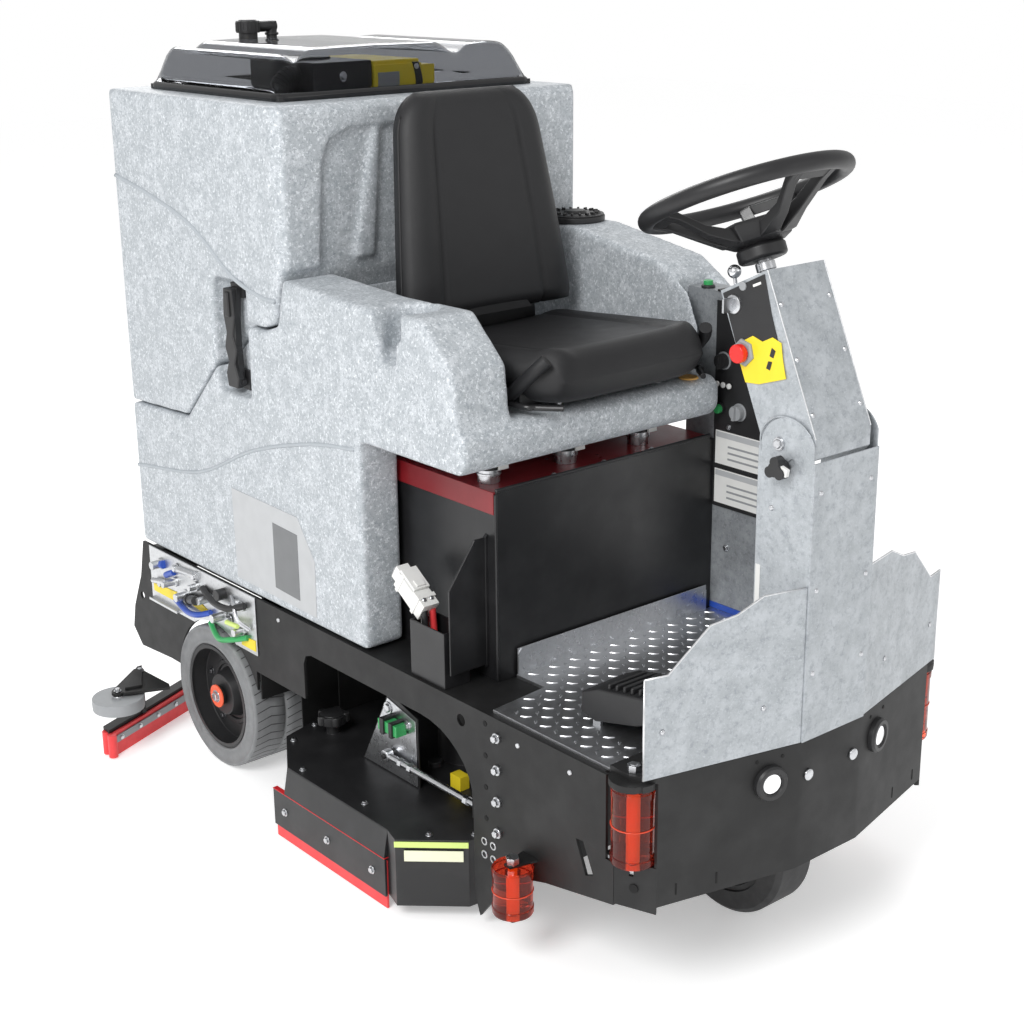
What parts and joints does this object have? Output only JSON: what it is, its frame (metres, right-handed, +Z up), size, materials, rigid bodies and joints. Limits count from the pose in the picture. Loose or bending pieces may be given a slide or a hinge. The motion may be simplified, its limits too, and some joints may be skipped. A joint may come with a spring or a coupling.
{
  "type": "ride-on floor scrubber",
  "caption": "Ride-on floor scrubber with a seat between armrests on tipping tanks, a tilting steering column, a lifting brush deck and a swinging rear squeegee.",
  "frame": {"origin": "on the floor, at the middle of the footprint", "axes": "-Y is the machine's front, +X its left and +Z up"},
  "size_m": [1.15, 1.76, 1.52],
  "materials": {
    "tank_plastic": "granite-flecked rotomoulded plastic",
    "frame_paint": "satin powder coat",
    "tread_metal": "treaded sheet",
    "box_paint": "satin black paint",
    "battery_case": "moulded plastic",
    "flange_paint": "gloss red paint",
    "connector_plastic": "moulded plastic",
    "hammer_paint": "speckled hammer-finish paint",
    "lamp": "polished",
    "panel_black": "satin",
    "knob_grey": "satin",
    "bolt_steel": "zinc plated",
    "tray_metal": "galvanised sheet",
    "tyre_grey": "matte",
    "rim_black": "satin",
    "drive_tyre": "matte",
    "roller_red": "translucent polyurethane",
    "lever_chrome": "polished",
    "button_red": "gloss",
    "button_black": "gloss",
    "latch_black": "satin",
    "seat_vinyl": "moulded vinyl",
    "lid_clear": "clear smoked plastic",
    "housing_black": "satin",
    "filter_yellow": "satin",
    "blade_red": "moulded rubber",
    "bristle": "nylon bristles",
    "link_steel": "zinc plated",
    "squeegee_metal": "cast and painted",
    "wheel_grey": "moulded plastic"
  },
  "bodies": {
    "chassis": {"frame_side_right": "frame_paint", "frame_side_left": "frame_paint", "chassis_frame": "frame_paint", "floor_plate": "tread_metal", "battery_box": "box_paint", "battery_pack": "battery_case", "battery_flange": "flange_paint", "battery_connector": "connector_plastic", "front_bumper": "frame_paint", "front_splash": "hammer_paint", "headlights": "lamp", "column_lower": "hammer_paint", "control_tower": "hammer_paint", "control_panel": "panel_black", "frame_bolts": "bolt_steel", "service_tray": "tray_metal"},
    "rear_wheel_right": {"rear_tyre_right": "tyre_grey", "rear_rim_right": "rim_black"},
    "rear_wheel_left": {"rear_tyre_left": "tyre_grey", "rear_rim_left": "rim_black"},
    "drive_fork": {"drive_fork": "frame_paint"},
    "drive_wheel": {"drive_wheel": "drive_tyre"},
    "corner_roller_right": {"corner_roller_right": "roller_red"},
    "corner_roller_left": {"corner_roller_left": "roller_red"},
    "side_roller_right": {"side_roller_right": "roller_red"},
    "side_roller_left": {"side_roller_left": "roller_red"},
    "column_upper": {"column_upper": "hammer_paint"},
    "steering": {"steering_shaft": "bolt_steel", "steering_wheel": "panel_black"},
    "tilt_knob": {"tilt_knob": "panel_black"},
    "estop_button": {"estop_button": "button_red"},
    "key_switch": {"key_switch": "bolt_steel"},
    "drive_lever": {"drive_lever": "lever_chrome"},
    "mode_knob": {"mode_knob": "panel_black"},
    "speed_knob": {"speed_knob": "knob_grey"},
    "horn_button": {"horn_button": "button_black"},
    "drive_pedal": {"drive_pedal": "panel_black"},
    "tanks": {"solution_tank": "tank_plastic", "recovery_tank": "tank_plastic", "seat_pan": "box_paint", "seat_cushion": "seat_vinyl", "seat_back": "seat_vinyl", "vacuum_housing": "housing_black", "filter_box": "filter_yellow", "suction_hose": "housing_black"},
    "latch_right": {"latch_right": "latch_black"},
    "latch_left": {"latch_left": "latch_black"},
    "fill_cap": {"fill_cap": "latch_black"},
    "lid": {"lid_dome": "lid_clear", "lid_frame": "latch_black"},
    "deck": {"deck_shell": "frame_paint", "skirt_blades": "blade_red"},
    "brush_right": {"brush_right": "bristle"},
    "brush_left": {"brush_left": "bristle"},
    "deck_link": {"deck_link": "link_steel"},
    "squeegee_arm": {"squeegee_arm": "frame_paint"},
    "squeegee": {"squeegee_frame": "squeegee_metal", "squeegee_blades": "blade_red"},
    "squeegee_wheel_right": {"squeegee_wheel_right": "wheel_grey"},
    "squeegee_wheel_left": {"squeegee_wheel_left": "wheel_grey"}
  },
  "joints": [
    {"name": "rear_wheel_right_spin", "type": "hinge", "parent": "chassis", "child": "rear_wheel_right", "pos_m": [-0.328, 0.468, 0.155], "axis": [1, 0, 0], "continuous": true},
    {"name": "rear_wheel_left_spin", "type": "hinge", "parent": "chassis", "child": "rear_wheel_left", "pos_m": [0.328, 0.468, 0.155], "axis": [1, 0, 0], "continuous": true},
    {"name": "steer", "type": "hinge", "parent": "chassis", "child": "drive_fork", "pos_m": [0.05, -0.637, 0.343], "axis": [0, 0, 1], "range_deg": [-60, 60]},
    {"name": "drive_wheel_spin", "type": "hinge", "parent": "drive_fork", "child": "drive_wheel", "pos_m": [0.05, -0.637, 0.14], "axis": [1, 0, 0], "continuous": true},
    {"name": "corner_roller_right_spin", "type": "hinge", "parent": "chassis", "child": "corner_roller_right", "pos_m": [-0.346, -0.772, 0.355], "axis": [0, 0, 1], "continuous": true},
    {"name": "corner_roller_left_spin", "type": "hinge", "parent": "chassis", "child": "corner_roller_left", "pos_m": [0.346, -0.772, 0.355], "axis": [0, 0, 1], "continuous": true},
    {"name": "side_roller_right_spin", "type": "hinge", "parent": "chassis", "child": "side_roller_right", "pos_m": [-0.4, -0.54, 0.1535], "axis": [0, 0, 1], "continuous": true},
    {"name": "side_roller_left_spin", "type": "hinge", "parent": "chassis", "child": "side_roller_left", "pos_m": [0.4, -0.54, 0.152], "axis": [0, 0, 1], "continuous": true},
    {"name": "column_tilt", "type": "hinge", "parent": "chassis", "child": "column_upper", "pos_m": [0, -0.807, 0.927], "axis": [-1, 0, 0], "range_deg": [0, 22]},
    {"name": "steering_turn", "type": "hinge", "parent": "column_upper", "child": "steering", "pos_m": [0, -0.651, 1.287], "axis": [0, 0.3971, 0.9178], "range_deg": [-240, 240]},
    {"name": "tilt_knob_turn", "type": "hinge", "parent": "column_upper", "child": "tilt_knob", "pos_m": [-0.092, -0.821, 0.893], "axis": [1, 0, 0], "continuous": true},
    {"name": "estop_press", "type": "slide", "parent": "column_upper", "child": "estop_button", "axis": [1, 0, 0], "range_m": [0, 0.004], "stiffness_N_per_m": 800, "springref_m": -0.002},
    {"name": "key_turn", "type": "hinge", "parent": "column_upper", "child": "key_switch", "pos_m": [-0.09, -0.702, 1.129], "axis": [1, 0, 0], "range_deg": [0, 90]},
    {"name": "lever_swing", "type": "hinge", "parent": "column_upper", "child": "drive_lever", "pos_m": [-0.052, -0.687, 1.134], "axis": [1, 0, 0], "range_deg": [-10, 10]},
    {"name": "mode_knob_turn", "type": "hinge", "parent": "chassis", "child": "mode_knob", "pos_m": [0.265, -0.364, 0.925], "axis": [1, 0, 0], "range_deg": [-135, 135]},
    {"name": "speed_knob_turn", "type": "hinge", "parent": "chassis", "child": "speed_knob", "pos_m": [0.265, -0.406, 0.834], "axis": [1, 0, 0], "range_deg": [-135, 135]},
    {"name": "horn_press", "type": "slide", "parent": "chassis", "child": "horn_button", "axis": [0, 0, -1], "range_m": [0, 0.0025], "stiffness_N_per_m": 400, "springref_m": -0.002},
    {"name": "pedal_press", "type": "hinge", "parent": "chassis", "child": "drive_pedal", "pos_m": [-0.205, -0.592, 0.446], "axis": [1, 0, 0], "range_deg": [0, 8], "stiffness_Nm_per_rad": 6, "springref_deg": -8.59},
    {"name": "tank_tip", "type": "hinge", "parent": "chassis", "child": "tanks", "pos_m": [0, 0.77, 0.42], "axis": [-1, 0, 0], "range_deg": [0, 35]},
    {"name": "latch_right_open", "type": "hinge", "parent": "tanks", "child": "latch_right", "pos_m": [-0.346, 0.336, 0.862], "axis": [0, -1, 0], "range_deg": [0, 50]},
    {"name": "latch_left_open", "type": "hinge", "parent": "tanks", "child": "latch_left", "pos_m": [0.346, 0.336, 0.862], "axis": [0, 1, 0], "range_deg": [0, 50]},
    {"name": "fill_cap_turn", "type": "hinge", "parent": "tanks", "child": "fill_cap", "pos_m": [0.3, 0.08, 1.133], "axis": [0, 0, 1], "continuous": true},
    {"name": "lid_open", "type": "hinge", "parent": "tanks", "child": "lid", "pos_m": [0, 0.694, 1.399], "axis": [-1, 0, 0], "range_deg": [0, 75]},
    {"name": "deck_lift", "type": "slide", "parent": "chassis", "child": "deck", "axis": [0, 0, 1], "range_m": [0, 0.03]},
    {"name": "brush_right_spin", "type": "hinge", "parent": "deck", "child": "brush_right", "pos_m": [-0.224, -0.1, 0.072], "axis": [0, 0, 1], "continuous": true},
    {"name": "brush_left_spin", "type": "hinge", "parent": "deck", "child": "brush_left", "pos_m": [0.224, -0.1, 0.072], "axis": [0, 0, 1], "continuous": true},
    {"name": "link_swing", "type": "hinge", "parent": "deck", "child": "deck_link", "pos_m": [-0.322, -0.08, 0.205], "axis": [1, 0, 0], "range_deg": [-0.5, 6.5]},
    {"name": "squeegee_lift", "type": "hinge", "parent": "chassis", "child": "squeegee_arm", "pos_m": [0, 0.56, 0.25], "axis": [1, 0, 0], "range_deg": [0, 10]},
    {"name": "squeegee_swing", "type": "hinge", "parent": "squeegee_arm", "child": "squeegee", "pos_m": [0, 0.782, 0.09], "axis": [0, 0, 1], "range_deg": [-8, 8]},
    {"name": "squeegee_wheel_right_spin", "type": "hinge", "parent": "squeegee", "child": "squeegee_wheel_right", "pos_m": [-0.52, 0.625, 0.133], "axis": [0, 0, 1], "continuous": true},
    {"name": "squeegee_wheel_left_spin", "type": "hinge", "parent": "squeegee", "child": "squeegee_wheel_left", "pos_m": [0.52, 0.625, 0.133], "axis": [0, 0, 1], "continuous": true}
  ],
  "couplings": [
    {"joint": "steering_turn", "follows": "steer", "ratio": 4},
    {"joint": "link_swing", "follows": "deck_lift", "rad_per_m": 3.4483}
  ]
}
